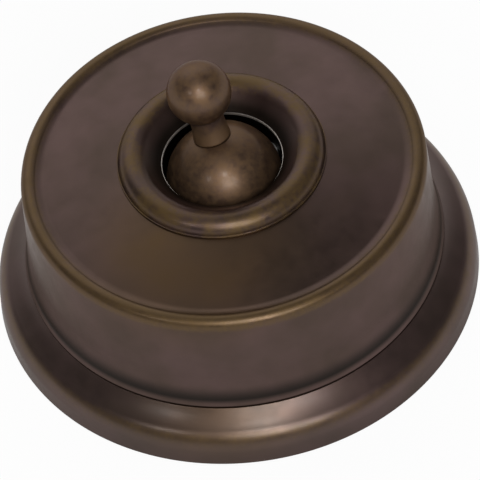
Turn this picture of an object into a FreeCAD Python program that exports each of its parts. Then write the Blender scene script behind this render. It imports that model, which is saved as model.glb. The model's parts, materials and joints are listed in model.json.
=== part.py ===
import FreeCAD, Part
import math
import os

# Brass dolly switch: a round surface switch with a turned base, a spun cover, a ring nut and a
# ball-ended dolly that tips between two positions. All sizes are millimetres.
# The origin is the centre of the wall face, +Z points out of the wall, +Y points up the wall.
# The dolly tips in the YZ plane and is drawn in its upper position.

os.makedirs("parts", exist_ok=True)

# Base plate
BASE_RADIUS = 30.0
BASE_HEIGHT = 6.5
BASE_SIDE_HEIGHT = 2.2
BASE_SIDE_DRAFT = 0.1
SHOULDER_WIDTH = 1.45
SHOULDER_RISE = 2.57
SHOULDER_BOW = 0.37
SLOPE_HOLLOW = 0.09
BASE_FLOOR_TOP = 2.4
BACK_RELIEF = 0.6
BACK_LAND_WIDTH = 4.0
BACK_CHAMFER = 0.35
MOULDING_WIDTH = 3.85
SEAT_MARGIN = 0.05
SPIGOT_HEIGHT = 1.5
SPIGOT_THICKNESS = 1.0
SPIGOT_CLEARANCE = 0.1

# Cover
COVER_TAPER = 0.3
COVER_SHEET = 0.9
COVER_LIP = 0.7
COVER_LIP_HEIGHT = 1.25
COVER_LIP_DRAFT = 0.28
COVER_LIP_ROUND = 0.3
COVER_FLARE_HEIGHT = 3.75
COVER_FLARE_BOW = 0.05
RIM_RISE = 1.6
RIM_BEAD_RADIUS = 1.15
RIM_BEAD_INNER_ANGLE = 135.0
RIM_FLANK_WIDTH = 0.15
RIM_FLANK_HOLLOW = 0.06
TOP_EDGE_RISE = 0.7
COVER_TOP_RISE = 1.9
INNER_CORNER_DROP = 0.4
LINER_THICKNESS = 0.4
LINER_GAP = 0.2
LINER_TOP_DROP = 0.8

# Ring nut and bush
RING_RADIUS = 12.95
RING_HEIGHT = 1.95
RING_FOOT = 0.3
RING_STEP = 0.12
RING_CREST_INSET = 2.1
RING_OUTER_BOW = 0.5
RING_ROLL_WIDTH = 1.55
RING_ROLL_DROP = 0.7
RING_ROLL_BOW = 0.17
RING_LIP_DROP = 0.5
RING_LIP_THICKNESS = 0.15
RING_LIP_CLEARANCE = 0.08
RING_SPIGOT_WALL = 1.1
RING_SPIGOT_CLEARANCE = 0.1
RING_PIN_GAP = 0.4
BUSH_BORE_RADIUS = 7.45
BUSH_WALL = 1.1
BUSH_FLANGE_WIDTH = 1.4
BUSH_FLANGE_THICKNESS = 0.8
BUSH_STAKE = 0.5
BUSH_TOP_GAP = 0.02
THREAD_CLEARANCE = 0.05

# Dolly
DOLLY_LEAN = 14.5
PIVOT_HEIGHT = 18.9
DOME_CLEARANCE = 0.2
DOME_SKIRT = 2.5
DOME_LAND_MARGIN = 0.05
BALL_RADIUS = 4.0
BALL_DISTANCE = 13.75
NECK_RADIUS = 2.35
NECK_WAIST = 0.2
NECK_FOOT_CHAMFER = 0.2
STEM_RADIUS = 1.5
STEM_LENGTH = 3.6
PIN_RADIUS = 1.1
PIN_CLEARANCE = 0.05
PIN_END_INSET = 0.1
LEVER_RADIUS = 4.2
LEVER_TOP = 2.5
LEVER_WALL = 0.75

# Plunger and its spring
PLUNGER_RADIUS = 2.3
PLUNGER_CLEARANCE = 0.04
PLUNGER_GUIDE = 1.6
TIP_RADIUS = 1.5
TIP_SHOW = 3.0
SPRING_WIRE = 0.45
SPRING_PITCH = 0.7
SPRING_GAP = 0.1
SPRING_SIDE_GAP = 0.2

# Rocker
ROCKER_TILT = 10.0
ROCKER_FLOOR_GAP = 1.1
ROCKER_HALF_WIDTH = 2.5
ROCKER_HALF_BLOCK = 3.4
ROCKER_BLOCK_DROP = 1.4
ROCKER_BLOCK_RISE = 3.2
ROCKER_ARM = 9.2
ROCKER_ARM_HALF_WIDTH = 2.1
ROCKER_ARM_BOTTOM = 0.4
ROCKER_ARM_THICKNESS = 0.9
ROCKER_ARM_CORNER = 1.2
ROCKER_PIN_RADIUS = 0.8
ROCKER_PIN_CLEARANCE = 0.04
TROUGH_WALL = 1.06
TROUGH_CLEARANCE = 0.2
CONTACT_DISTANCE = 7.6
CONTACT_RADIUS = 1.4
CONTACT_RIM = 0.35
CONTACT_DOME = 0.35
CONTACT_CLEARANCE = 0.2

# Insulator block and its metalwork
BLOCK_CLEARANCE = 1.9
BLOCK_HOLE_GAP = 0.2
BLOCK_CHANNEL_DEPTH = 7.0
BLOCK_FLOOR = 1.6
BLOCK_FILLET = 0.8
SLOT_HALF_WIDTH = 4.2
POCKET_CLEARANCE = 0.6
TRENCH_CLEARANCE = 0.3
FOOT_CLEARANCE = 0.4
STRIP_THICKNESS = 0.9
STRIP_HALF_WIDTH = 2.6
STRIP_INNER = 6.2
STRIP_END_MARGIN = 2.9
SADDLE_CHEEK = 0.8
SADDLE_SIDE_GAP = 0.3
SADDLE_HALF_LENGTH = 3.2
CHEEK_HALF_LENGTH = 2.2
COMMON_STRIP_WIDTH = 3.4
COMMON_STRIP_INSET = 2.0
PILLAR_WIDTH = 5.6
PILLAR_LENGTH = 6.0
PILLAR_HEIGHT = 6.2
PILLAR_CORNER = 0.6
WIRE_HEIGHT = 2.6
WIRE_RADIUS = 1.4
COMMON_PILLAR_X = 8.4
COMMON_PILLAR_Y = 8.6
EARTH_WIDTH = 3.8
EARTH_HEIGHT = 5.0
EARTH_WIRE_HEIGHT = 2.1
EARTH_BLOCK_GAP = 0.7
EARTH_HOLE_GAP = 2.3
TERMINAL_SCREW_RADIUS = 1.25
TERMINAL_HEAD_RADIUS = 2.0
TERMINAL_HEAD_HEIGHT = 1.5
TERMINAL_HEAD_CHAMFER = 0.2
SCREW_SLOT_WIDTH = 0.6
SCREW_SLOT_DEPTH = 0.7
SCREW_SLOT_OVERRUN = 1.0

# Bridge, fixing holes and cable entry
BRIDGE_PIN_GAP = 0.9
BRIDGE_SHEET = 1.2
BRIDGE_BEND = 0.5
BRIDGE_HALF_WIDTH = 4.5
BRIDGE_PLATE_MARGIN = 2.8
BODY_SCREW_GAP = 0.6
BODY_SCREW_RADIUS = 1.2
BODY_SCREW_HEAD_RADIUS = 2.3
BRIDGE_FOOT_MARGIN = 0.6
BODY_SCREW_CLEARANCE = 0.15
WALL_HOLE_MARGIN = 0.8
WALL_HOLE_RADIUS = 2.1
WALL_HOLE_COUNTERSINK = 0.9
CABLE_X = -9.2
CABLE_Y = 9.0
CABLE_RADIUS = 4.0

# Sizes that follow from the ones above
DOME_RADIUS = BUSH_BORE_RADIUS - DOME_CLEARANCE
DOME_LAND_RADIUS = NECK_RADIUS + DOME_LAND_MARGIN
BUSH_RADIUS = BUSH_BORE_RADIUS + BUSH_WALL
RING_BORE_RADIUS = BUSH_RADIUS + THREAD_CLEARANCE
RING_SPIGOT_RADIUS = RING_BORE_RADIUS + RING_SPIGOT_WALL
COVER_HOLE_RADIUS = RING_SPIGOT_RADIUS + RING_SPIGOT_CLEARANCE
SEAT_RADIUS = BASE_RADIUS - MOULDING_WIDTH
COVER_LIP_RADIUS = SEAT_RADIUS - SEAT_MARGIN
COVER_FOOT_RADIUS = COVER_LIP_RADIUS - COVER_LIP
COVER_RIM_RADIUS = COVER_FOOT_RADIUS - COVER_TAPER
COVER_BORE_RADIUS = COVER_FOOT_RADIUS - COVER_SHEET
SPIGOT_RADIUS = COVER_BORE_RADIUS - SPIGOT_CLEARANCE
SPIGOT_TOP = BASE_HEIGHT + SPIGOT_HEIGHT
DISH_RADIUS = SPIGOT_RADIUS - SPIGOT_THICKNESS
BLOCK_RADIUS = DISH_RADIUS - BLOCK_CLEARANCE
WALL_SINK_RADIUS = WALL_HOLE_RADIUS + WALL_HOLE_COUNTERSINK
WALL_HOLE_X = DISH_RADIUS - WALL_HOLE_MARGIN - WALL_SINK_RADIUS
BLOCK_HALF_WIDTH = WALL_HOLE_X - WALL_SINK_RADIUS - BLOCK_HOLE_GAP
FLOOR_Z = BASE_FLOOR_TOP + BLOCK_FLOOR
BLOCK_TOP = FLOOR_Z + BLOCK_CHANNEL_DEPTH
STRIP_TOP = FLOOR_Z + STRIP_THICKNESS
ROCKER_PIVOT_HEIGHT = STRIP_TOP + ROCKER_BLOCK_DROP + ROCKER_FLOOR_GAP
PIVOT_SPAN = PIVOT_HEIGHT - ROCKER_PIVOT_HEIGHT
TROUGH_BOTTOM = ROCKER_PIN_RADIUS + ROCKER_PIN_CLEARANCE + TROUGH_WALL
TIP_DISTANCE = PIVOT_SPAN - TROUGH_BOTTOM - TROUGH_CLEARANCE
LEVER_LENGTH = TIP_DISTANCE - TIP_SHOW
RIM_BEAD_HEIGHT = PIVOT_HEIGHT + RIM_RISE
BRIDGE_PLATE_TOP = PIVOT_HEIGHT - PIN_RADIUS - BRIDGE_PIN_GAP
BODY_SCREW_X = BLOCK_HALF_WIDTH - BRIDGE_FOOT_MARGIN - BODY_SCREW_RADIUS
LEG_OUTSIDE = BODY_SCREW_X - BODY_SCREW_RADIUS - BODY_SCREW_GAP
LEG_INSIDE = LEG_OUTSIDE - BRIDGE_SHEET
QUARTER_BOW = 1 - math.sqrt(0.5)
ORIGIN = FreeCAD.Vector(0, 0, 0)
PIVOT = FreeCAD.Vector(0, 0, PIVOT_HEIGHT)
ROCKER_PIVOT = FreeCAD.Vector(0, 0, ROCKER_PIVOT_HEIGHT)
X_AXIS = FreeCAD.Vector(1, 0, 0)
Y_AXIS = FreeCAD.Vector(0, 1, 0)
Z_AXIS = FreeCAD.Vector(0, 0, 1)


def section(r, z):
    """A point of a turned profile, at radius r and height z."""
    return FreeCAD.Vector(r, 0, z)


def line(a, b):
    return Part.makeLine(section(*a), section(*b))


def curve(a, through, b):
    """A circular arc of a turned profile from a to b by way of a third point."""
    return Part.Arc(section(*a), section(*through), section(*b)).toShape()


def bowed(a, b, bow):
    """A circular arc from a to b that stands off its chord by bow, to the right of the way."""
    dr = b[0] - a[0]
    dz = b[1] - a[1]
    length = math.hypot(dr, dz)
    middle = ((a[0] + b[0]) / 2 + bow * dz / length, (a[1] + b[1]) / 2 - bow * dr / length)
    return curve(a, middle, b)


def on_circle(centre, radius, degrees):
    angle = math.radians(degrees)
    return (centre[0] + radius * math.cos(angle), centre[1] + radius * math.sin(angle))


def polyline(points):
    return [line(points[i], points[i + 1]) for i in range(len(points) - 1)]


def turned(edges):
    """The solid of revolution about Z of one closed profile."""
    face = Part.Face(Part.Wire(edges))
    return face.revolve(ORIGIN, Z_AXIS, 360)


def box(x0, x1, y0, y1, z0, z1):
    return Part.makeBox(x1 - x0, y1 - y0, z1 - z0, FreeCAD.Vector(x0, y0, z0))


def rod(radius, length, start, axis):
    return Part.makeCylinder(radius, length, start, axis)


def cone(r0, r1, x, y, z0, z1):
    return Part.makeCone(r0, r1, z1 - z0, FreeCAD.Vector(x, y, z0), Z_AXIS)


def edges_along(shape, axis):
    """The straight edges of a shape that run along one axis."""
    found = []
    for edge in shape.Edges:
        if isinstance(edge.Curve, (Part.Line, Part.LineSegment)):
            if abs(edge.tangentAt(edge.FirstParameter).dot(axis)) > 0.999:
                found.append(edge)
    return found


def half_turn(shape):
    turned_copy = shape.copy()
    turned_copy.rotate(ORIGIN, Z_AXIS, 180)
    return turned_copy


def tipped(shape, angle, centre):
    """A shape drawn about the origin, turned about X and carried to its pivot."""
    placed = shape.copy()
    placed.rotate(ORIGIN, X_AXIS, angle)
    placed.translate(centre)
    return placed


def save(name, shape):
    solid = shape.removeSplitter()
    if len(solid.Solids) == 1:
        solid = solid.Solids[0]
    solid.exportStep("parts/" + name + ".step")
    print(name, len(solid.Solids), "solid(s), valid:", solid.isValid(), "volume", round(solid.Volume, 2))


# Cover top: one shallow sphere from the rim bead to the ring
BEAD_CENTRE = (COVER_RIM_RADIUS - RIM_BEAD_RADIUS, RIM_BEAD_HEIGHT)
TOP_EDGE_RADIUS = BEAD_CENTRE[0] - RIM_BEAD_RADIUS - RIM_FLANK_WIDTH
TOP_EDGE_HEIGHT = RIM_BEAD_HEIGHT + TOP_EDGE_RISE
RING_SEAT_HEIGHT = TOP_EDGE_HEIGHT + COVER_TOP_RISE
TOP_CENTRE = (RING_RADIUS ** 2 + RING_SEAT_HEIGHT ** 2 - TOP_EDGE_RADIUS ** 2 - TOP_EDGE_HEIGHT ** 2)
TOP_CENTRE = TOP_CENTRE / (2 * (RING_SEAT_HEIGHT - TOP_EDGE_HEIGHT))
TOP_SPHERE = math.hypot(RING_RADIUS, RING_SEAT_HEIGHT - TOP_CENTRE)


def top_point(r):
    return (r, TOP_CENTRE + math.sqrt(TOP_SPHERE ** 2 - r ** 2))


def under_point(r):
    return (r, TOP_CENTRE + math.sqrt((TOP_SPHERE - COVER_SHEET) ** 2 - r ** 2))


# Base plate: a turned dish with a round shoulder and a hollow slope, a spigot and a relieved back
seat = (SEAT_RADIUS, BASE_HEIGHT)
side_top = (BASE_RADIUS - BASE_SIDE_DRAFT, BASE_SIDE_HEIGHT)
shoulder = (side_top[0] - SHOULDER_WIDTH, side_top[1] + SHOULDER_RISE)
land_radius = BASE_RADIUS - BACK_LAND_WIDTH
base_edges = polyline([(0, BASE_FLOOR_TOP), (0, BACK_RELIEF), (land_radius, BACK_RELIEF), (land_radius, 0),
                       (BASE_RADIUS - BACK_CHAMFER, 0), (BASE_RADIUS, BACK_CHAMFER), side_top])
base_edges.append(bowed(side_top, shoulder, SHOULDER_BOW))
base_edges.append(bowed(shoulder, seat, -SLOPE_HOLLOW))
base_edges += polyline([seat, (SPIGOT_RADIUS, BASE_HEIGHT), (SPIGOT_RADIUS, SPIGOT_TOP),
                        (DISH_RADIUS, SPIGOT_TOP), (DISH_RADIUS, BASE_FLOOR_TOP), (0, BASE_FLOOR_TOP)])
base_plate = turned(base_edges)
wall_sink_low = BASE_FLOOR_TOP - WALL_HOLE_COUNTERSINK
sink_depth = BODY_SCREW_HEAD_RADIUS - BODY_SCREW_RADIUS
for side in (-1, 1):
    x = side * WALL_HOLE_X
    wall_hole = rod(WALL_HOLE_RADIUS, BASE_FLOOR_TOP, FreeCAD.Vector(x, 0, 0), Z_AXIS)
    sink = cone(WALL_HOLE_RADIUS, WALL_SINK_RADIUS, x, 0, wall_sink_low, BASE_FLOOR_TOP)
    x = side * BODY_SCREW_X
    screw_hole = rod(BODY_SCREW_RADIUS + BODY_SCREW_CLEARANCE, BASE_FLOOR_TOP,
                     FreeCAD.Vector(x, 0, 0), Z_AXIS)
    head_sink = cone(BODY_SCREW_HEAD_RADIUS, BODY_SCREW_RADIUS, x, 0, BACK_RELIEF, BACK_RELIEF + sink_depth)
    base_plate = base_plate.cut(wall_hole.fuse([sink, screw_hole, head_sink]))
cable_hole = rod(CABLE_RADIUS, BLOCK_TOP, FreeCAD.Vector(CABLE_X, CABLE_Y, 0), Z_AXIS)
base_plate = base_plate.cut(cable_hole)
save("base_plate", base_plate)

# Cover: spun sheet with a flared foot, a rim bead that rounds into the wall and a shallow crowned top
lip_low = (COVER_LIP_RADIUS - COVER_LIP_ROUND, BASE_HEIGHT)
lip_edge = (COVER_LIP_RADIUS, BASE_HEIGHT + COVER_LIP_ROUND)
lip_top = (COVER_LIP_RADIUS - COVER_LIP_DRAFT, BASE_HEIGHT + COVER_LIP_HEIGHT)
flare_top = (COVER_FOOT_RADIUS, lip_top[1] + COVER_FLARE_HEIGHT)
bead_start = on_circle(BEAD_CENTRE, RIM_BEAD_RADIUS, 0)
bead_crest = on_circle(BEAD_CENTRE, RIM_BEAD_RADIUS, 90)
bead_end = on_circle(BEAD_CENTRE, RIM_BEAD_RADIUS, RIM_BEAD_INNER_ANGLE)
top_middle_radius = (TOP_EDGE_RADIUS + COVER_HOLE_RADIUS) / 2
top_edge = top_point(TOP_EDGE_RADIUS)
top_hole = top_point(COVER_HOLE_RADIUS)
under_hole = under_point(COVER_HOLE_RADIUS)
under_edge = under_point(TOP_EDGE_RADIUS)
inner_top = (COVER_RIM_RADIUS - COVER_SHEET, RIM_BEAD_HEIGHT - INNER_CORNER_DROP)
inner_foot = (COVER_BORE_RADIUS, SPIGOT_TOP)
cover_edges = [line((COVER_BORE_RADIUS, BASE_HEIGHT), lip_low)]
cover_edges.append(bowed(lip_low, lip_edge, COVER_LIP_ROUND * QUARTER_BOW))
cover_edges.append(line(lip_edge, lip_top))
cover_edges.append(bowed(lip_top, flare_top, -COVER_FLARE_BOW))
cover_edges.append(line(flare_top, bead_start))
cover_edges.append(curve(bead_start, on_circle(BEAD_CENTRE, RIM_BEAD_RADIUS, 45), bead_crest))
cover_edges.append(curve(bead_crest, on_circle(BEAD_CENTRE, RIM_BEAD_RADIUS, (90 + RIM_BEAD_INNER_ANGLE) / 2),
                         bead_end))
cover_edges.append(bowed(bead_end, top_edge, -RIM_FLANK_HOLLOW))
cover_edges.append(curve(top_edge, top_point(top_middle_radius), top_hole))
cover_edges.append(line(top_hole, under_hole))
cover_edges.append(curve(under_hole, under_point(top_middle_radius), under_edge))
cover_edges += polyline([under_edge, inner_top, inner_foot, (COVER_BORE_RADIUS, BASE_HEIGHT)])
save("cover", turned(cover_edges))


def wall_inside(z):
    """Radius of the cover's tapered bore at height z."""
    share = (z - inner_foot[1]) / (inner_top[1] - inner_foot[1])
    return inner_foot[0] + share * (inner_top[0] - inner_foot[0])


# Insulating liner: a thin sleeve against the tapered wall of the cover
liner_low = SPIGOT_TOP + LINER_GAP
liner_top = inner_top[1] - LINER_TOP_DROP
liner = polyline([(wall_inside(liner_low) - LINER_THICKNESS, liner_low), (wall_inside(liner_low), liner_low),
                  (wall_inside(liner_top), liner_top), (wall_inside(liner_top) - LINER_THICKNESS, liner_top),
                  (wall_inside(liner_low) - LINER_THICKNESS, liner_low)])
save("cover_liner", turned(liner))

# Ring nut: a rounded bead with a funnel throat, seated on the crown of the cover
foot = top_point(RING_RADIUS)
step = (RING_RADIUS - RING_STEP, foot[1] + RING_FOOT)
crest = (RING_RADIUS - RING_CREST_INSET, foot[1] + RING_HEIGHT)
throat_top = (crest[0] - RING_ROLL_WIDTH, crest[1] - RING_ROLL_DROP)
lip_under = foot[1] - RING_LIP_DROP
throat_low = (BUSH_BORE_RADIUS + RING_LIP_CLEARANCE, lip_under + RING_LIP_THICKNESS)
spigot_low = PIVOT_HEIGHT + PIN_RADIUS + RING_PIN_GAP
spigot_top = top_point(RING_SPIGOT_RADIUS)
ring_edges = polyline([foot, (RING_RADIUS, step[1]), step])
ring_edges.append(bowed(step, crest, RING_OUTER_BOW))
ring_edges.append(bowed(crest, throat_top, RING_ROLL_BOW))
ring_edges += polyline([throat_top, throat_low, (throat_low[0], lip_under), (RING_BORE_RADIUS, lip_under),
                        (RING_BORE_RADIUS, spigot_low), (RING_SPIGOT_RADIUS, spigot_low), spigot_top])
ring_edges.append(curve(spigot_top, top_point((RING_RADIUS + RING_SPIGOT_RADIUS) / 2), foot))
save("cover_ring", turned(ring_edges))

# Bush: flanged sleeve staked in the bridge, it carries the ring nut and the dolly pin
bush_top = lip_under - BUSH_TOP_GAP
bush_low = BRIDGE_PLATE_TOP - BRIDGE_SHEET - BUSH_STAKE
flange_top = BRIDGE_PLATE_TOP + BUSH_FLANGE_THICKNESS
bush = turned(polyline([(BUSH_BORE_RADIUS, bush_low), (BUSH_RADIUS, bush_low),
                        (BUSH_RADIUS, BRIDGE_PLATE_TOP),
                        (BUSH_RADIUS + BUSH_FLANGE_WIDTH, BRIDGE_PLATE_TOP),
                        (BUSH_RADIUS + BUSH_FLANGE_WIDTH, flange_top), (BUSH_RADIUS, flange_top),
                        (BUSH_RADIUS, bush_top), (BUSH_BORE_RADIUS, bush_top),
                        (BUSH_BORE_RADIUS, bush_low)]))
pin_half = BUSH_RADIUS - PIN_END_INSET
pin = rod(PIN_RADIUS, 2 * pin_half, FreeCAD.Vector(-pin_half, 0, PIVOT_HEIGHT), X_AXIS)
pin_bore = rod(PIN_RADIUS, 4 * BUSH_RADIUS, FreeCAD.Vector(-2 * BUSH_RADIUS, 0, PIVOT_HEIGHT), X_AXIS)
save("dolly_bush", bush.cut(pin_bore))
save("dolly_pin", pin)

# Bridge: a pressed plate with two legs bent down and out into feet on the insulator block
plate_low = BRIDGE_PLATE_TOP - BRIDGE_SHEET
outer_bend = BRIDGE_BEND + BRIDGE_SHEET
foot_top = BLOCK_TOP + BRIDGE_SHEET
leg_outline = [(0, plate_low), (LEG_INSIDE, plate_low), (LEG_INSIDE, BLOCK_TOP),
               (BLOCK_HALF_WIDTH, BLOCK_TOP), (BLOCK_HALF_WIDTH, foot_top), (LEG_OUTSIDE, foot_top),
               (LEG_OUTSIDE, BRIDGE_PLATE_TOP), (0, BRIDGE_PLATE_TOP), (0, plate_low)]
leg = Part.Face(Part.Wire(polyline(leg_outline))).extrude(FreeCAD.Vector(0, 2 * BRIDGE_HALF_WIDTH, 0))
leg.translate(FreeCAD.Vector(0, -BRIDGE_HALF_WIDTH, 0))


def bend_edges(shape, corners):
    """The edges along Y of a folded strip that stand at the given corners."""
    found = []
    for edge in edges_along(shape, Y_AXIS):
        at = edge.CenterOfMass
        if any(math.hypot(at.x - c[0], at.z - c[1]) < BRIDGE_BEND for c in corners):
            found.append(edge)
    return found


leg = leg.makeFillet(BRIDGE_BEND, bend_edges(leg, [(LEG_INSIDE, plate_low), (LEG_OUTSIDE, foot_top)]))
leg = leg.makeFillet(outer_bend, bend_edges(leg, [(LEG_OUTSIDE, BRIDGE_PLATE_TOP), (LEG_INSIDE, BLOCK_TOP)]))
tapped_foot = rod(BODY_SCREW_RADIUS, BRIDGE_SHEET, FreeCAD.Vector(BODY_SCREW_X, 0, BLOCK_TOP), Z_AXIS)
leg = leg.cut(tapped_foot)
plate = rod(BUSH_RADIUS + BRIDGE_PLATE_MARGIN, BRIDGE_SHEET, FreeCAD.Vector(0, 0, plate_low), Z_AXIS)
flat_half = LEG_OUTSIDE - outer_bend
plate = plate.common(box(-flat_half, flat_half, -BUSH_RADIUS - BRIDGE_PLATE_MARGIN,
                         BUSH_RADIUS + BRIDGE_PLATE_MARGIN, plate_low, BRIDGE_PLATE_TOP))
bridge = plate.fuse([leg, half_turn(leg)])
bridge = bridge.cut(rod(BUSH_RADIUS, BRIDGE_SHEET + BUSH_STAKE, FreeCAD.Vector(0, 0, bush_low), Z_AXIS))
save("bridge", bridge)

# Insulator block: a glazed block with one long channel, a side pocket and a cable hole
block = rod(BLOCK_RADIUS, BLOCK_TOP - BASE_FLOOR_TOP, FreeCAD.Vector(0, 0, BASE_FLOOR_TOP), Z_AXIS)
block = block.common(box(-BLOCK_HALF_WIDTH, BLOCK_HALF_WIDTH, -BLOCK_RADIUS, BLOCK_RADIUS, 0, BLOCK_TOP))
rim = [edge for edge in block.Edges if edge.BoundBox.ZMax > BLOCK_TOP - BLOCK_FILLET]
block = block.makeFillet(BLOCK_FILLET, rim)
channel = box(-SLOT_HALF_WIDTH, SLOT_HALF_WIDTH, -BLOCK_RADIUS, BLOCK_RADIUS, FLOOR_Z, BLOCK_TOP)
pocket_x = COMMON_PILLAR_X + PILLAR_WIDTH / 2 + POCKET_CLEARANCE
strip_x = COMMON_PILLAR_X + PILLAR_WIDTH / 2 - COMMON_STRIP_INSET
pocket_y = BRIDGE_HALF_WIDTH + FOOT_CLEARANCE
pocket = box(SLOT_HALF_WIDTH, pocket_x, pocket_y, BLOCK_RADIUS, FLOOR_Z, BLOCK_TOP)
trench = box(0, strip_x + TRENCH_CLEARANCE, -SADDLE_HALF_LENGTH - TRENCH_CLEARANCE, pocket_y,
             FLOOR_Z, BLOCK_TOP)
block = block.cut(channel.fuse([pocket, trench]))
block = block.cut(cable_hole)
for side in (-1, 1):
    through = rod(BODY_SCREW_RADIUS + BODY_SCREW_CLEARANCE, BLOCK_TOP,
                  FreeCAD.Vector(side * BODY_SCREW_X, 0, 0), Z_AXIS)
    block = block.cut(through)
save("insulator_block", block)


def screw_slot(head_radius, x, y, z0, z1):
    """The slot across a screw head, between two heights."""
    reach = head_radius + SCREW_SLOT_OVERRUN
    return box(x - reach, x + reach, y - SCREW_SLOT_WIDTH / 2, y + SCREW_SLOT_WIDTH / 2, z0, z1)


# Body screws: countersunk from the back, through base and block into the bridge feet
body_screws = []
for side in (-1, 1):
    x = side * BODY_SCREW_X
    shank = rod(BODY_SCREW_RADIUS, BLOCK_TOP + BRIDGE_SHEET - BACK_RELIEF,
                FreeCAD.Vector(x, 0, BACK_RELIEF), Z_AXIS)
    head = cone(BODY_SCREW_HEAD_RADIUS, BODY_SCREW_RADIUS, x, 0, BACK_RELIEF, BACK_RELIEF + sink_depth)
    slot = screw_slot(BODY_SCREW_HEAD_RADIUS, x, 0, BACK_RELIEF, BACK_RELIEF + SCREW_SLOT_DEPTH)
    body_screws.append(shank.fuse(head).cut(slot).removeSplitter().Solids[0])
save("body_screws", Part.makeCompound(body_screws))

# Common saddle: carries the rocker pin and leads to the common terminal
cheek_in = ROCKER_HALF_WIDTH + SADDLE_SIDE_GAP
cheek_out = cheek_in + SADDLE_CHEEK
cheek_top = ROCKER_PIVOT_HEIGHT + 2 * ROCKER_PIN_RADIUS
saddle = box(-cheek_out, strip_x, -SADDLE_HALF_LENGTH, SADDLE_HALF_LENGTH, FLOOR_Z, STRIP_TOP)
saddle = saddle.fuse(box(strip_x - COMMON_STRIP_WIDTH, strip_x, -SADDLE_HALF_LENGTH,
                         COMMON_PILLAR_Y + PILLAR_LENGTH / 2, FLOOR_Z, STRIP_TOP))
cheek = box(cheek_in, cheek_out, -CHEEK_HALF_LENGTH, CHEEK_HALF_LENGTH, FLOOR_Z, cheek_top)
saddle = saddle.fuse([cheek, half_turn(cheek)])
rocker_pin = rod(ROCKER_PIN_RADIUS, 2 * cheek_out, FreeCAD.Vector(-cheek_out, 0, ROCKER_PIVOT_HEIGHT), X_AXIS)
save("common_saddle", saddle.cut(rocker_pin))
save("rocker_pin", rocker_pin)


def pillar(x, y, z, width, length, height, wire_height):
    """A terminal pillar with a wire hole along Y and a tapped hole from the top."""
    body = box(x - width / 2, x + width / 2, y - length / 2, y + length / 2, z, z + height)
    body = body.makeFillet(PILLAR_CORNER, edges_along(body, Z_AXIS))
    wire = rod(WIRE_RADIUS, 2 * length, FreeCAD.Vector(x, y - length, z + wire_height), Y_AXIS)
    tapped = rod(TERMINAL_SCREW_RADIUS, height - wire_height, FreeCAD.Vector(x, y, z + wire_height), Z_AXIS)
    return body.cut(wire.fuse(tapped))


def terminal_screw(x, y, top, reach):
    """A cheese-head screw whose head stands on a pillar top."""
    shank = rod(TERMINAL_SCREW_RADIUS, reach, FreeCAD.Vector(x, y, top - reach), Z_AXIS)
    head_top = top + TERMINAL_HEAD_HEIGHT
    shoulder = head_top - TERMINAL_HEAD_CHAMFER
    head = rod(TERMINAL_HEAD_RADIUS, shoulder - top, FreeCAD.Vector(x, y, top), Z_AXIS)
    crown = cone(TERMINAL_HEAD_RADIUS, TERMINAL_HEAD_RADIUS - TERMINAL_HEAD_CHAMFER, x, y, shoulder, head_top)
    slot = screw_slot(TERMINAL_HEAD_RADIUS, x, y, head_top - SCREW_SLOT_DEPTH, head_top)
    return shank.fuse([head, crown]).cut(slot).removeSplitter().Solids[0]


# Terminals, their screws and the contact strips
strip_end = BLOCK_RADIUS - STRIP_END_MARGIN
pillar_y = strip_end - PILLAR_LENGTH / 2
pillar_top = STRIP_TOP + PILLAR_HEIGHT
earth_x = -BLOCK_HALF_WIDTH - EARTH_BLOCK_GAP - EARTH_WIDTH / 2
earth_y = WALL_SINK_RADIUS + EARTH_HOLE_GAP + EARTH_WIDTH / 2
for name, x, y in (("terminal_upper", 0, pillar_y), ("terminal_lower", 0, -pillar_y),
                   ("terminal_common", COMMON_PILLAR_X, COMMON_PILLAR_Y)):
    save(name, pillar(x, y, STRIP_TOP, PILLAR_WIDTH, PILLAR_LENGTH, PILLAR_HEIGHT, WIRE_HEIGHT))
save("terminal_earth", pillar(earth_x, earth_y, BASE_FLOOR_TOP, EARTH_WIDTH, EARTH_WIDTH,
                              EARTH_HEIGHT, EARTH_WIRE_HEIGHT))
reach = PILLAR_HEIGHT - WIRE_HEIGHT - WIRE_RADIUS
earth_reach = EARTH_HEIGHT - EARTH_WIRE_HEIGHT - WIRE_RADIUS
save("terminal_screws", Part.makeCompound([
    terminal_screw(0, pillar_y, pillar_top, reach),
    terminal_screw(0, -pillar_y, pillar_top, reach),
    terminal_screw(COMMON_PILLAR_X, COMMON_PILLAR_Y, pillar_top, reach),
    terminal_screw(earth_x, earth_y, BASE_FLOOR_TOP + EARTH_HEIGHT, earth_reach)]))
strip = box(-STRIP_HALF_WIDTH, STRIP_HALF_WIDTH, STRIP_INNER, strip_end, FLOOR_Z, STRIP_TOP)
save("contact_strip_upper", strip)
save("contact_strip_lower", half_turn(strip))

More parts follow.
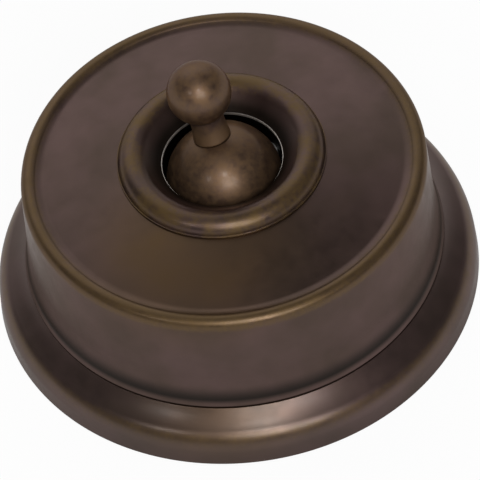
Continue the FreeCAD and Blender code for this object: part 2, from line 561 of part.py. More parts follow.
# Rocker: a see-saw block with a round trough for the plunger and two contact arms
tilt = math.radians(ROCKER_TILT)
lean = math.radians(DOLLY_LEAN)
tip_reach = TIP_DISTANCE - TIP_RADIUS
end_y = tip_reach * math.sin(lean)
end_z = PIVOT_SPAN - tip_reach * math.cos(lean)
path_y = end_y * math.cos(tilt) - end_z * math.sin(tilt)
path_z = end_y * math.sin(tilt) + end_z * math.cos(tilt)
path_low = PIVOT_SPAN - tip_reach
path_radius = ((path_z - path_low) ** 2 + path_y ** 2) / (2 * (path_z - path_low))
trough_radius = path_radius + TIP_RADIUS + TROUGH_CLEARANCE
rocker_block = box(-ROCKER_HALF_WIDTH, ROCKER_HALF_WIDTH, -ROCKER_HALF_BLOCK, ROCKER_HALF_BLOCK,
                   -ROCKER_BLOCK_DROP, ROCKER_BLOCK_RISE)
arms = box(-ROCKER_ARM_HALF_WIDTH, ROCKER_ARM_HALF_WIDTH, -ROCKER_ARM, ROCKER_ARM,
           ROCKER_ARM_BOTTOM, ROCKER_ARM_BOTTOM + ROCKER_ARM_THICKNESS)
arms = arms.makeFillet(ROCKER_ARM_CORNER, edges_along(arms, Z_AXIS))
rocker = rocker_block.fuse(arms)
rocker = rocker.cut(rod(trough_radius, 4 * ROCKER_HALF_WIDTH,
                        FreeCAD.Vector(-2 * ROCKER_HALF_WIDTH, 0, path_low + path_radius), X_AXIS))
rocker = rocker.cut(rod(ROCKER_PIN_RADIUS + ROCKER_PIN_CLEARANCE, 4 * ROCKER_HALF_WIDTH,
                        FreeCAD.Vector(-2 * ROCKER_HALF_WIDTH, 0, 0), X_AXIS))
save("rocker", tipped(rocker, ROCKER_TILT, ROCKER_PIVOT))

# Contact points: domed buttons under the rocker arms, flat ones on the strips
dome_sphere = (CONTACT_RADIUS ** 2 + CONTACT_DOME ** 2) / (2 * CONTACT_DOME)
button_low = ROCKER_ARM_BOTTOM - CONTACT_RIM - CONTACT_DOME
button_edge = (CONTACT_RADIUS, ROCKER_ARM_BOTTOM - CONTACT_RIM)
half_chord = math.hypot(CONTACT_RADIUS, CONTACT_DOME) / 2
button_bow = dome_sphere - math.sqrt(dome_sphere ** 2 - half_chord ** 2)
button = turned([line((0, ROCKER_ARM_BOTTOM), (0, button_low)),
                 bowed((0, button_low), button_edge, button_bow),
                 line(button_edge, (CONTACT_RADIUS, ROCKER_ARM_BOTTOM)),
                 line((CONTACT_RADIUS, ROCKER_ARM_BOTTOM), (0, ROCKER_ARM_BOTTOM))])
sphere_z = button_low + dome_sphere
fixed_y = CONTACT_DISTANCE * math.cos(tilt) + sphere_z * math.sin(tilt)
sphere_height = ROCKER_PIVOT_HEIGHT - CONTACT_DISTANCE * math.sin(tilt) + sphere_z * math.cos(tilt)
fixed_top = sphere_height - dome_sphere - CONTACT_CLEARANCE
moving_points = []
fixed_points = []
for side in (-1, 1):
    point = button.copy()
    point.translate(FreeCAD.Vector(0, side * CONTACT_DISTANCE, 0))
    moving_points.append(tipped(point, ROCKER_TILT, ROCKER_PIVOT))
    fixed_points.append(rod(CONTACT_RADIUS, fixed_top - STRIP_TOP,
                            FreeCAD.Vector(0, side * fixed_y, STRIP_TOP), Z_AXIS))
save("rocker_contacts", Part.makeCompound(moving_points))
save("fixed_contacts", Part.makeCompound(fixed_points))

# Dolly dome: a cut sphere on the pivot centre, with a flat land for the neck of the knob
land_z = math.sqrt(DOME_RADIUS ** 2 - DOME_LAND_RADIUS ** 2)
dome = Part.makeSphere(DOME_RADIUS)
dome = dome.common(box(-DOME_RADIUS, DOME_RADIUS, -DOME_RADIUS, DOME_RADIUS, -DOME_SKIRT, land_z))
dome = dome.cut(rod(LEVER_RADIUS, DOME_SKIRT + LEVER_TOP, FreeCAD.Vector(0, 0, -DOME_SKIRT), Z_AXIS))
dome = dome.cut(rod(STEM_RADIUS, STEM_LENGTH, FreeCAD.Vector(0, 0, land_z - STEM_LENGTH), Z_AXIS))
cross_bore = rod(PIN_RADIUS + PIN_CLEARANCE, 4 * DOME_RADIUS, FreeCAD.Vector(-2 * DOME_RADIUS, 0, 0), X_AXIS)
save("dolly_dome", tipped(dome.cut(cross_bore), -DOLLY_LEAN, PIVOT))

# Dolly knob: ball, waisted neck and the screwed stem that holds it in the dome
neck_top_radius = NECK_RADIUS - NECK_WAIST
ball_low = math.sqrt(BALL_RADIUS ** 2 - neck_top_radius ** 2)
neck_top = (neck_top_radius, BALL_DISTANCE - ball_low)
neck_foot = (NECK_RADIUS, land_z + NECK_FOOT_CHAMFER)
neck_middle = (neck_top_radius, (neck_top[1] + neck_foot[1]) / 2)
stem_end = land_z - STEM_LENGTH
knob_edges = polyline([(0, stem_end), (STEM_RADIUS, stem_end), (STEM_RADIUS, land_z),
                       (NECK_RADIUS - NECK_FOOT_CHAMFER, land_z), neck_foot])
knob_edges.append(curve(neck_foot, neck_middle, neck_top))
knob_edges.append(curve(neck_top, (BALL_RADIUS, BALL_DISTANCE), (0, BALL_DISTANCE + BALL_RADIUS)))
knob_edges.append(line((0, BALL_DISTANCE + BALL_RADIUS), (0, stem_end)))
save("dolly_knob", tipped(turned(knob_edges), -DOLLY_LEAN, PIVOT))

# Dolly lever: the insulating tail with the plunger bore
bore_radius = PLUNGER_RADIUS + PLUNGER_CLEARANCE
bore_top = -PIN_RADIUS - PIN_CLEARANCE - LEVER_WALL
lever = rod(LEVER_RADIUS, LEVER_TOP + LEVER_LENGTH, FreeCAD.Vector(0, 0, -LEVER_LENGTH), Z_AXIS)
lever = lever.cut(rod(bore_radius, LEVER_LENGTH + bore_top, FreeCAD.Vector(0, 0, -LEVER_LENGTH), Z_AXIS))
save("dolly_lever", tipped(lever.cut(cross_bore), -DOLLY_LEAN, PIVOT))

# Plunger: a guided pin with a round tip that works in the rocker trough
guide_top = -LEVER_LENGTH + PLUNGER_GUIDE
plunger_edges = polyline([(0, guide_top), (PLUNGER_RADIUS, guide_top), (PLUNGER_RADIUS, -LEVER_LENGTH),
                          (TIP_RADIUS, -LEVER_LENGTH), (TIP_RADIUS, -tip_reach)])
plunger_edges.append(bowed((TIP_RADIUS, -tip_reach), (0, -TIP_DISTANCE), -TIP_RADIUS * QUARTER_BOW))
plunger_edges.append(line((0, -TIP_DISTANCE), (0, guide_top)))
save("plunger", tipped(turned(plunger_edges), -DOLLY_LEAN, PIVOT))

# Plunger spring: an open coil between the end of the bore and the plunger
wire = SPRING_WIRE / 2
coil_radius = bore_radius - wire - SPRING_SIDE_GAP
coil_low = guide_top + SPRING_GAP + wire
coil_height = bore_top - wire - coil_low
helix = Part.makeHelix(SPRING_PITCH, coil_height, coil_radius)
start = Part.Wire(Part.makeCircle(wire, FreeCAD.Vector(coil_radius, 0, 0), Y_AXIS))
coil = Part.Wire(helix.Edges).makePipeShell([start], True, True)
coil.translate(FreeCAD.Vector(0, 0, coil_low))
save("plunger_spring", tipped(coil, -DOLLY_LEAN, PIVOT))
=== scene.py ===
# %% [markdown]
# # A brass dolly switch
# This lesson dresses a round light switch: a turned base, a spun cover, a ring nut and a ball-ended
# dolly, all in brass that was darkened, rubbed back and waxed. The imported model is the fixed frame.
# Every piece is placed in that frame, in metres, so nothing here is fitted by eye.

# %% Load the frame
import bmesh
import bpy
import json
import math
from mathutils import Matrix, Vector


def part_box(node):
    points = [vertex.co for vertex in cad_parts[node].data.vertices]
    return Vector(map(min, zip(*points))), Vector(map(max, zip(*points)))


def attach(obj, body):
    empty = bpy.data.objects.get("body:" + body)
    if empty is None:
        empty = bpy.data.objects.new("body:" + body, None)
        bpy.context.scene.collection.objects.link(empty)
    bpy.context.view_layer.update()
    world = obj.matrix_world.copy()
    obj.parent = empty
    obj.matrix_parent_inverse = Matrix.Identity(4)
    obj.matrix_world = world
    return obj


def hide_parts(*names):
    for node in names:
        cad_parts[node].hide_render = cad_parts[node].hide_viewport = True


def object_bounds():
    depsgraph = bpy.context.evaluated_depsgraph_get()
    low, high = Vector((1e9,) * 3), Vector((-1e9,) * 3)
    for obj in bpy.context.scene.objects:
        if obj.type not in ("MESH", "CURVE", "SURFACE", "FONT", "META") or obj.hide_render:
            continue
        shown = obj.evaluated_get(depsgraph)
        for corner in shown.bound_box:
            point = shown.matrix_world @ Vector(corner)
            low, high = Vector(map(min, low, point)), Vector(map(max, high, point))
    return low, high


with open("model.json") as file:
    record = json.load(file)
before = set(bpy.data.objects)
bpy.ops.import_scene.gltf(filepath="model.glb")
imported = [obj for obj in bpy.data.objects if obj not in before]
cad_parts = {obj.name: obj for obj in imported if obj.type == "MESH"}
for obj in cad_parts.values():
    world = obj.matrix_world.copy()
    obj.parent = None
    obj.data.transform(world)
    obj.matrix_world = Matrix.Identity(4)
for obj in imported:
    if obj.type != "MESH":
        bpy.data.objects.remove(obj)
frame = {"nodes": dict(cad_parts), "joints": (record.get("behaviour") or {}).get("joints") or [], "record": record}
cad_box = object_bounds()
print("pieces in the frame:", len(frame["nodes"]))
print("box of the frame:", [tuple(round(x, 5) for x in corner) for corner in cad_box])

# %% [markdown]
# ## Colours and nodes
# Colours are written as sRGB hex, the way a paint card gives them, and one function turns them to the
# linear values that a shader adds up in. One more function adds any shader node: its properties, its
# input values and its links, so a material below reads as a short list of layers.

# %% Helpers for every material
MM = 0.001


def linear(code):
    """The linear RGBA colour of an sRGB hex code such as 8A6E3C."""
    shares = [int(code[i:i + 2], 16) / 255 for i in (0, 2, 4)]
    return tuple(s / 12.92 if s <= 0.04045 else ((s + 0.055) / 1.055) ** 2.4 for s in shares) + (1.0,)


def per_metre(millimetres):
    """The texture scale whose features are about this many millimetres across."""
    return 1 / (millimetres * MM)


def add(tree, kind, inputs=None, stops=None, **properties):
    """Add one node. An input that is given a socket is linked, any other value is set on it."""
    node = tree.nodes.new(kind)
    for key, value in properties.items():
        setattr(node, key, value)
    for key, value in (inputs or {}).items():
        if isinstance(value, bpy.types.NodeSocket):
            tree.links.new(value, node.inputs[key])
        else:
            node.inputs[key].default_value = value
    for place, colour in stops or []:
        stop = node.color_ramp.elements.new(place)
        stop.color = colour
    if stops:
        node.color_ramp.elements.remove(node.color_ramp.elements[0])
        node.color_ramp.elements.remove(node.color_ramp.elements[-1])
    return node


def finish(name):
    """A new material, its node tree and its surface shader."""
    material = bpy.data.materials.new(name)
    material.use_nodes = True
    tree = material.node_tree
    return material, tree, tree.nodes["Principled BSDF"]


print("brass gold in linear light:", [round(x, 3) for x in linear("8A6E3C")])

# %% [markdown]
# ## Patinated brass
# The outside is turned and spun brass. A chemical bath turned it brown, a cloth took the brown off
# the high edges, and wax sealed what was left. So the eye meets three things: a dark metal with soft
# reflections, gold where hands and cloths reach, and near-black where they don't. Painting that by
# hand would need an image. Here each turned mesh carries one number per point, from -1 in a groove to
# +1 on a rubbed crest, and noise breaks up its border. Below zero it darkens: patina in the grooves,
# painted shade at the foot of the cover and under the ball, and both on the slope of the base. Above
# zero it brings gold: wear, and at the foot of the ring nut also painted light. The clouds are about
# 9 mm across, as a bath leaves them, and the flecks in the gold are half a millimetre. Turning marks
# are really about 0.1 mm apart, and are drawn at 0.35 mm to show.
#
# A cloth also thins the brown over a wide, flat place, which then looks olive. `brushed` is a point in
# millimetres near such a place, and the brown thins towards it.

# %% Sizes and colours of the patina
CLOUD = 9.0
GRAIN = 0.5
TURNING_MARK = 0.35
BROWN = "54423E"
BROWN_DEEP = "493A33"
OLIVE_BROWN = "55401E"
RUBBED_GOLD = "604C30"
HANDLED_GOLD = "6F5740"
# Near-black of the patina in grooves, also used as painted shade.
PATINA_AND_SHADE_BLACK = "1E1712"
EDGE_BROWN = "C4BAB4"
EDGE_DARK = "948880"
print("clouds of", CLOUD, "mm, flecks of", GRAIN, "mm, turning marks", TURNING_MARK, "mm apart")

# %% [markdown]
# The layers go on as they did in the workshop. First comes the bath, in clouds, thinned where a cloth
# went. Gold breaks through where the wear is high, with a border that a coarse and a fine noise break
# up. Black stays in the grooves as patina, and the same black goes on as painted shade where the
# number is low. The same noises then move the roughness and press a very shallow relief, and a thin
# clear coat stands for the wax. The spun cover is made first: broad and even.

# %% The patina, on the spun cover
NOISE_MEAN = 0.5
CLOUD_DARK = 0.35
CLOUD_PALE = 0.62
BRUSHED_OUTER = 19.0
BRUSHED_INNER = 8.0
DARKENING_START = -0.1
DARKENING_END = -0.9
ROUGHNESS_SPREAD = 0.35
SCUFFED_GOLD = 0.12
DULL_DARKENING = 0.2
MARK_SHARE = 0.4
RELIEF = 0.02
RELIEF_STRENGTH = 0.12
METAL_SHARE = 0.9


def patinated_brass(name, mottle_size, mottle_depth, fleck, handled, satin, wax, polish, gold_code,
                    edge_code=EDGE_BROWN, brushed=None):
    """Brass with a brown bath patina and a coat of wax.

    Patches of mottle_size millimetres break up the wear by mottle_depth, and fine flecks do by fleck.
    handled adds to the wear everywhere. satin is the roughness of the metal, wax is how much of the
    coat shows, and polish is the roughness of that coat.
    """
    material, tree, shader = finish(name)
    where = add(tree, "ShaderNodeTexCoord").outputs["Object"]
    wear_and_shade = add(tree, "ShaderNodeAttribute", attribute_name="wear_and_shade").outputs["Fac"]
    along = add(tree, "ShaderNodeAttribute", attribute_name="along").outputs["Fac"]
    cloud = add(tree, "ShaderNodeTexNoise",
                {"Vector": where, "Scale": per_metre(CLOUD), "Detail": 3.0}).outputs["Fac"]
    mottle = add(tree, "ShaderNodeTexNoise", {"Vector": where, "Scale": per_metre(mottle_size),
                                              "Detail": 6.0, "Roughness": 0.62}).outputs["Fac"]
    grain = add(tree, "ShaderNodeTexNoise",
                {"Vector": where, "Scale": per_metre(GRAIN), "Detail": 3.0}).outputs["Fac"]
    marks = add(tree, "ShaderNodeTexNoise", {"W": along, "Scale": 1 / TURNING_MARK, "Detail": 2.0},
                noise_dimensions="1D").outputs["Fac"]
    bath = add(tree, "ShaderNodeValToRGB", {"Fac": cloud},
               stops=[(CLOUD_DARK, linear(BROWN_DEEP)), (CLOUD_PALE, linear(BROWN))]).outputs["Color"]
    if brushed:
        reach = add(tree, "ShaderNodeVectorMath", {0: where, 1: [x * MM for x in brushed]},
                    operation="DISTANCE").outputs["Value"]
        thin = add(tree, "ShaderNodeMapRange", {"Value": reach, "From Min": BRUSHED_OUTER * MM,
                                                "From Max": BRUSHED_INNER * MM},
                   interpolation_type="SMOOTHSTEP").outputs["Result"]
        thin = add(tree, "ShaderNodeMath", {0: thin, 1: cloud}, operation="MULTIPLY").outputs[0]
        bath = add(tree, "ShaderNodeMix", {0: thin, 6: bath, 7: linear(OLIVE_BROWN)},
                   data_type="RGBA").outputs[2]
    rub_noise = add(tree, "ShaderNodeMath", {0: mottle, 1: NOISE_MEAN}, operation="SUBTRACT").outputs[0]
    fine_noise = add(tree, "ShaderNodeMath", {0: grain, 1: NOISE_MEAN}, operation="SUBTRACT").outputs[0]
    touched = add(tree, "ShaderNodeMath", {0: wear_and_shade, 1: handled}, operation="ADD").outputs[0]
    rub_level = add(tree, "ShaderNodeMath", {0: rub_noise, 1: mottle_depth, 2: touched},
                    operation="MULTIPLY_ADD").outputs[0]
    rub_level = add(tree, "ShaderNodeMath", {0: fine_noise, 1: fleck, 2: rub_level},
                    operation="MULTIPLY_ADD").outputs[0]
    gold = add(tree, "ShaderNodeMapRange", {"Value": rub_level, "From Min": 0.0, "From Max": 1.0},
               interpolation_type="SMOOTHSTEP").outputs["Result"]
    # Darkening below zero: patina in grooves and hollows, and painted shade at the lip, slope and neck.
    patina_and_shade = add(tree, "ShaderNodeMapRange",
                 {"Value": wear_and_shade, "From Min": DARKENING_START, "From Max": DARKENING_END},
                 interpolation_type="SMOOTHSTEP").outputs["Result"]
    rubbed_bath = add(tree, "ShaderNodeMix", {0: gold, 6: bath, 7: linear(gold_code)},
                      data_type="RGBA").outputs[2]
    colour = add(tree, "ShaderNodeMix", {0: patina_and_shade, 6: rubbed_bath, 7: linear(PATINA_AND_SHADE_BLACK)},
                 data_type="RGBA").outputs[2]
    smooth = add(tree, "ShaderNodeMath", {0: rub_noise, 1: ROUGHNESS_SPREAD, 2: satin},
                 operation="MULTIPLY_ADD").outputs[0]
    scuffed = add(tree, "ShaderNodeMath", {0: gold, 1: SCUFFED_GOLD, 2: smooth},
                  operation="MULTIPLY_ADD").outputs[0]
    roughness = add(tree, "ShaderNodeMath", {0: patina_and_shade, 1: DULL_DARKENING, 2: scuffed},
                    operation="MULTIPLY_ADD").outputs[0]
    relief = add(tree, "ShaderNodeMath", {0: marks, 1: MARK_SHARE, 2: grain},
                 operation="MULTIPLY_ADD").outputs[0]
    bump = add(tree, "ShaderNodeBump", {"Height": relief, "Strength": RELIEF_STRENGTH,
                                        "Distance": RELIEF * MM}).outputs["Normal"]
    tree.links.new(colour, shader.inputs["Base Color"])
    tree.links.new(roughness, shader.inputs["Roughness"])
    tree.links.new(bump, shader.inputs["Normal"])
    shader.inputs["Metallic"].default_value = METAL_SHARE
    shader.inputs["Specular Tint"].default_value = linear(edge_code)
    shader.inputs["Coat Weight"].default_value = wax
    shader.inputs["Coat Roughness"].default_value = polish
    return material


# Spun sheet, bathed and waxed: an even brown with a soft sheen, olive where a cloth went over the top.
cover_patina = patinated_brass("patinated_brass_spun_cover", mottle_size=3.0, mottle_depth=0.35,
                               fleck=0.6, handled=0.0, satin=0.36, wax=0.2, polish=0.27,
                               gold_code=RUBBED_GOLD, brushed=(-11, -10, 30))
print(cover_patina.name, "has", len(cover_patina.node_tree.nodes), "nodes")

# %% [markdown]
# The same bath took the other pieces differently. The ring is patchy, because fingers pass it. The base
# carries the most wax, which whitens its highlight. The dolly is handled all over, so it is the most
# golden, and its edges are darker, as a dull film is when seen aslant. Only the numbers differ, so the
# one function makes them all.

# %% The patina on the ring, the base and the dolly
# Turned bar, bathed and rubbed by fingers: gold patches that end in brown.
ring_patina = patinated_brass("patinated_brass_turned_ring", mottle_size=4.0, mottle_depth=3.0,
                              fleck=0.5, handled=0.0, satin=0.36, wax=0.2, polish=0.27,
                              gold_code=RUBBED_GOLD)
# Turned casting, bathed and well waxed: a broad, pale highlight on a slope darkened by patina and painted shade.
base_patina = patinated_brass("patinated_brass_turned_base", mottle_size=2.4, mottle_depth=0.4,
                              fleck=0.6, handled=0.0, satin=0.36, wax=0.45, polish=0.27,
                              gold_code=RUBBED_GOLD, brushed=(-20, -25, 16))
# Turned bar, bathed and worn by hands: a mottled gold with small soft highlights.
dolly_patina = patinated_brass("patinated_brass_handled_dolly", mottle_size=1.2, mottle_depth=1.1,
                               fleck=0.6, handled=0.62, satin=0.42, wax=0.2, polish=0.22,
                               gold_code=HANDLED_GOLD, edge_code=EDGE_DARK)
print("more patinas:", ring_patina.name, base_patina.name, dolly_patina.name)

# %% [markdown]
# ## The metals inside
# Four plain metals work under the cover. Brass terminals are turned and left bright. The bridge, pins
# and screws are pressed or drawn steel. The bush is nickel plated, which shows as a pale crescent
# inside the ring. The contact points are silver, a little tarnished. They differ in colour and in how
# long their tool marks are, so one function with those two choices makes all four. Real tool marks
# are finer than 0.1 mm, and are drawn at about 0.3 mm to show.

# %% Bright brass, steel, nickel plate and silver
STAIN = 4.0
STAINED = 0.32
CLEAN = 0.58
DULLEST = 0.3
BRIGHTEST = 0.65
STAIN_DULLING = 0.12
MARK_RELIEF = 0.03
MARK_STRENGTH = 0.15


def tooled_metal(name, pale, dark, roughness, mark, stretch):
    """Bare metal with tool marks, mark millimetres wide and stretch times as long, along X."""
    material, tree, shader = finish(name)
    where = add(tree, "ShaderNodeTexCoord").outputs["Object"]
    lines = add(tree, "ShaderNodeMapping",
                {"Vector": where, "Scale": (1 / stretch, 1.0, 1.0)}).outputs["Vector"]
    marks = add(tree, "ShaderNodeTexNoise",
                {"Vector": lines, "Scale": per_metre(mark), "Detail": 4.0}).outputs["Fac"]
    stain = add(tree, "ShaderNodeTexNoise",
                {"Vector": where, "Scale": per_metre(STAIN), "Detail": 5.0}).outputs["Fac"]
    colour = add(tree, "ShaderNodeValToRGB", {"Fac": stain},
                 stops=[(STAINED, linear(dark)), (CLEAN, linear(pale))]).outputs["Color"]
    dullness = add(tree, "ShaderNodeMapRange",
                   {"Value": stain, "From Min": DULLEST, "From Max": BRIGHTEST,
                    "To Min": roughness + STAIN_DULLING, "To Max": roughness}).outputs["Result"]
    bump = add(tree, "ShaderNodeBump",
               {"Height": marks, "Strength": MARK_STRENGTH,
                "Distance": MARK_RELIEF * MM}).outputs["Normal"]
    tree.links.new(colour, shader.inputs["Base Color"])
    tree.links.new(dullness, shader.inputs["Roughness"])
    tree.links.new(bump, shader.inputs["Normal"])
    shader.inputs["Metallic"].default_value = 1.0
    return material


# Turned and left bare: warm yellow, with short marks that blur each highlight.
turned_brass = tooled_metal("turned_bright_brass", "D6B36B", "A98443",
                            roughness=0.28, mark=0.3, stretch=6.0)
# Drawn or pressed, then zinc plated: a cool grey with long faint lines.
drawn_steel = tooled_metal("zinc_plated_steel", "B4B4B0", "8A8A88",
                           roughness=0.34, mark=0.25, stretch=14.0)
# Plated over turned brass and gone dull: a pale, warm grey.
nickel_plate = tooled_metal("nickel_plated_brass", "D2CBC4", "B5ADA6",
                            roughness=0.55, mark=0.3, stretch=3.0)
# Coined in a die: near white, tarnished in clouds.
contact_silver = tooled_metal("coined_contact_silver", "DCDAD4", "9C968C",
                              roughness=0.3, mark=0.4, stretch=1.0)
print("metals:", turned_brass.name, drawn_steel.name, nickel_plate.name, contact_silver.name)

# %% [markdown]
# Only the top edge of the bush shows its pale plate. Below it the bore is painted black: painted shade
# for the deep gap between the bush and the dome, so a thin pale line stands over a dark gap. The faces
# could be sorted into two materials, but the frame's mesh stays as it is, so one material chooses
# between the two by the height of each point.

# %% Painted shade in the bore of the bush
BUSH_SHADE_TOP = 22.3
SHADE_BORDER = 0.05
BORE_SHADE_BLACK = "15110E"
bush_tree = nickel_plate.node_tree
bush_colour = bush_tree.nodes["Principled BSDF"].inputs["Base Color"]
plated = bush_colour.links[0].from_socket
bush_where = add(bush_tree, "ShaderNodeTexCoord").outputs["Object"]
bush_height = add(bush_tree, "ShaderNodeSeparateXYZ", {0: bush_where}).outputs["Z"]
bright = add(bush_tree, "ShaderNodeMapRange",
             {"Value": bush_height, "From Min": (BUSH_SHADE_TOP - SHADE_BORDER) * MM,
              "From Max": BUSH_SHADE_TOP * MM}).outputs["Result"]
# Below the top edge the bore is painted black as shade.
bush_shade_mix = add(bush_tree, "ShaderNodeMix", {0: bright, 6: linear(BORE_SHADE_BLACK), 7: plated},
               data_type="RGBA")
bush_tree.links.new(bush_shade_mix.outputs[2], bush_colour)
print("the bush is bright above", BUSH_SHADE_TOP, "mm")

# %% [markdown]
# ## The insulators inside
# The block is porcelain under a clear glaze: white, hard and shiny, with a faint orange-peel swell of
# about 3 mm and a few iron specks. The lever is moulded phenolic, near black with flow clouds. The
# liner is vulcanised fibre, paper pressed to a red board, so its fibres run one way and it is matt.
# Each is a dielectric, so only the noise size, the colours and the gloss change.

# %% Porcelain, phenolic and vulcanised fibre
SPECK = 0.8
SPECK_START = 0.7
SPECK_FULL = 0.78
GRAIN_DARK = 0.3
GRAIN_PALE = 0.6
GRAIN_GLOSSY = 0.3
GRAIN_DULL = 0.7
GLOSS_SPREAD = 0.1
GRAIN_STRENGTH = 0.2


def insulator(name, pale, dark, ior, roughness, grain, stretch, relief):
    """A dielectric body with grain millimetres of texture, drawn out along X by stretch."""
    material, tree, shader = finish(name)
    where = add(tree, "ShaderNodeTexCoord").outputs["Object"]
    drawn = add(tree, "ShaderNodeMapping",
                {"Vector": where, "Scale": (1 / stretch, 1.0, 1.0)}).outputs["Vector"]
    fibres = add(tree, "ShaderNodeTexNoise",
                 {"Vector": drawn, "Scale": per_metre(grain), "Detail": 5.0}).outputs["Fac"]
    specks = add(tree, "ShaderNodeTexNoise",
                 {"Vector": where, "Scale": per_metre(SPECK), "Detail": 2.0}).outputs["Fac"]
    body = add(tree, "ShaderNodeValToRGB", {"Fac": fibres},
               stops=[(GRAIN_DARK, linear(dark)), (GRAIN_PALE, linear(pale))]).outputs["Color"]
    speck = add(tree, "ShaderNodeMapRange",
                {"Value": specks, "From Min": SPECK_START, "From Max": SPECK_FULL}).outputs["Result"]
    colour = add(tree, "ShaderNodeMix", {0: speck, 6: body, 7: linear(dark)},
                 data_type="RGBA").outputs[2]
    gloss = add(tree, "ShaderNodeMapRange",
                {"Value": fibres, "From Min": GRAIN_GLOSSY, "From Max": GRAIN_DULL,
                 "To Min": roughness, "To Max": roughness + GLOSS_SPREAD}).outputs["Result"]
    bump = add(tree, "ShaderNodeBump",
               {"Height": fibres, "Strength": GRAIN_STRENGTH, "Distance": relief * MM}).outputs["Normal"]
    tree.links.new(colour, shader.inputs["Base Color"])
    tree.links.new(gloss, shader.inputs["Roughness"])
    tree.links.new(bump, shader.inputs["Normal"])
    shader.inputs["IOR"].default_value = ior
    return material


# Fired under a clear glaze: cream white with sharp highlights.
glazed_porcelain = insulator("glazed_porcelain", "EDE8DC", "DDD5C4", ior=1.52,
                             roughness=0.08, grain=3.0, stretch=1.0, relief=0.03)
# Pressed hot in a polished mould: near black, with a dull shine.
moulded_phenolic = insulator("moulded_phenolic", "33231B", "1E1410", ior=1.6,
                             roughness=0.32, grain=2.0, stretch=2.0, relief=0.02)
# Pressed and sheared board: matt red with a grain.
pressed_fibre = insulator("vulcanised_fibre", "7A3226", "5A2219", ior=1.5,
                          roughness=0.6, grain=0.6, stretch=8.0, relief=0.05)
print("insulators:", glazed_porcelain.name, moulded_phenolic.name, pressed_fibre.name)

# %% [markdown]
# ## Give every frame piece its finish
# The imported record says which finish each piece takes. The frame's own meshes stay as they are, and
# only their material changes. Four outer pieces are replaced further on by finer ones. The dome of the
# dolly stays the frame's own: it carries no wear numbers, so it looks evenly handled.

# %% Finishes by slot
finishes = {"patinated_brass": dolly_patina, "bright_brass": turned_brass,
            "steel": drawn_steel, "nickel_plate": nickel_plate,
            "silver_contact": contact_silver, "porcelain": glazed_porcelain,
            "phenolic": moulded_phenolic, "vulcanised_fibre": pressed_fibre}
for subpart in frame["record"]["subparts"]:
    piece = frame["nodes"][subpart["node"]]
    piece.data.materials.clear()
    piece.data.materials.append(finishes[subpart["material_slot"]])

# %% [markdown]
# ## Turning a profile
# A lathe makes these parts, so the script turns them too: half a section, swept round the axis. Each
# point of the section is a radius, a height and its number for wear, which below zero darkens, as
# patina and as painted shade. Two points are joined by a straight cut or by an arc that bows off its
# chord. No real corner is sharp, so every corner gets a small round, and it is that round which
# catches a thin line of light. Points held close to each corner keep the long flats flat under smooth
# shading.

# %% Section helpers, in millimetres
ARC_STEPS = 14
CORNER_STEPS = 5
CORNER_TURN = math.radians(18)
CORNER_SHARE = 0.45
HOLD = 0.1
HELD_FROM = 4
TINY = 1e-6


def bowed(a, b, bow):
    """Points of an arc from a to b that stands off its chord by bow, to the right of the way."""
    dr, dz = b[0] - a[0], b[1] - a[1]
    chord = math.hypot(dr, dz)
    half = 2 * math.atan(2 * bow / chord)
    points = []
    for i in range(ARC_STEPS + 1):
        t = i / ARC_STEPS
        if abs(half) < TINY:
            forward, aside = t, 0.0
        else:
            turn = half * (2 * t - 1)
            forward = 0.5 + math.sin(turn) / (2 * math.sin(half))
            aside = (math.cos(turn) - math.cos(half)) / (2 * math.sin(half))
        points.append((a[0] + dr * forward + dz * aside, a[1] + dz * forward - dr * aside,
                       a[2] + (b[2] - a[2]) * t))
    return points


def rubbed(points, peak, lean=1.0):
    """The same stretch with wear added along it, most in the middle, or past it where lean is over 1."""
    last = len(points) - 1
    return [(radius, height, wear_shade + peak * math.sin(math.pi * (i / last) ** lean))
            for i, (radius, height, wear_shade) in enumerate(points)]


def eased(a, corner, b):
    """Points of a smooth curve from a to b that is drawn towards the corner between them."""
    points = []
    for i in range(ARC_STEPS + 1):
        t = i / ARC_STEPS
        points.append(tuple(p * (1 - t) ** 2 + q * 2 * t * (1 - t) + r * t ** 2
                            for p, q, r in zip(a, corner, b)))
    return points


def bulge(radius, degrees):
    """How far an arc of this radius and angle stands off its chord."""
    return radius * (1 - math.cos(math.radians(degrees) / 2))


def section(*stretches):
    """One list of points from single points and arcs, each joined to the next by a straight cut."""
    points = []
    for stretch in stretches:
        for point in stretch if isinstance(stretch, list) else [stretch]:
            if not points or math.dist(point[:2], points[-1][:2]) > TINY:
                points.append(point)
    return points


def softened(points, radius, closed):
    """The section with its corners rounded and a holding point beside each round."""
    out = []
    count = len(points)
    for i, here in enumerate(points):
        if not closed and i in (0, count - 1):
            out.append(here)
            continue
        before, after = Vector(points[i - 1][:2]), Vector(points[(i + 1) % count][:2])
        at = Vector(here[:2])
        into, away = at - before, after - at
        turn = into.angle(away)
        if turn < CORNER_TURN:
            out.append(here)
            continue
        back = min(radius * math.tan(turn / 2), CORNER_SHARE * into.length, CORNER_SHARE * away.length)
        start, end = at - into.normalized() * back, at + away.normalized() * back
        if into.length > HELD_FROM * (back + HOLD):
            out.append((*(start - into.normalized() * HOLD), here[2]))
        for k in range(CORNER_STEPS):
            t = k / (CORNER_STEPS - 1)
            out.append((*(start * (1 - t) ** 2 + at * 2 * t * (1 - t) + end * t ** 2), here[2]))
        if away.length > HELD_FROM * (back + HOLD):
            out.append((*(end + away.normalized() * HOLD), here[2]))
    return out


print("a quarter round of 1 mm stands off its chord by", round(bulge(1, 90), 3), "mm")

# %% [markdown]
# ## Sweeping the section
# Rings of points go round the axis and quads join each ring to the next. A point on the axis is a
# single vertex. Two numbers ride on every vertex: the one for wear and painted shade, and `along`, the
# distance travelled on the section, which places the turning marks. A Screw modifier could sweep a
# section too, but here the rings are needed by themselves, because the drilled floor of the base is
# filled between them.

